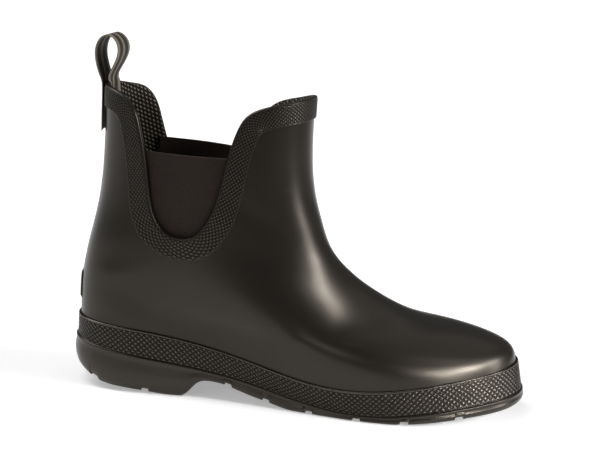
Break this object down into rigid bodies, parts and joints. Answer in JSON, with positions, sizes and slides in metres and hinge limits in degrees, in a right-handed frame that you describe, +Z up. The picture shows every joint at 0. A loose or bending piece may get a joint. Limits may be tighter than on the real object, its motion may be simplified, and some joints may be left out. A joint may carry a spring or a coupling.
{
  "type": "chelsea rain boot",
  "caption": "Right ankle-high rubber rain boot with textured foxing and collar trim, elastic side gores, a lugged outsole and a tape pull loop at the heel.",
  "frame": {"origin": "centre of the bounding box in plan, on the floor plane under the tread", "axes": "+X from heel to toe, +Z up from the floor, -Y towards the lateral side of the right foot"},
  "size_m": [0.2786, 0.099, 0.2134],
  "materials": {
    "upper": "satin black rubber",
    "outsole": "matt black rubber",
    "foxing": "satin black rubber with a raised diamond texture",
    "collar_trim": "dark grey rubber with a fine raised dot texture",
    "gore_lateral": "black ribbed elastic knit",
    "gore_medial": "black ribbed elastic knit",
    "pull_loop": "beige woven tape with brown bands",
    "heel_patch": "satin black rubber",
    "insole": "dark grey cloth over foam"
  },
  "bodies": {
    "root": {"upper": "upper", "outsole": "outsole", "foxing": "foxing", "collar_trim": "collar_trim", "gore_lateral": "gore_lateral", "gore_medial": "gore_medial", "pull_loop": "pull_loop", "heel_patch": "heel_patch", "insole": "insole"}
  },
  "joints": []
}
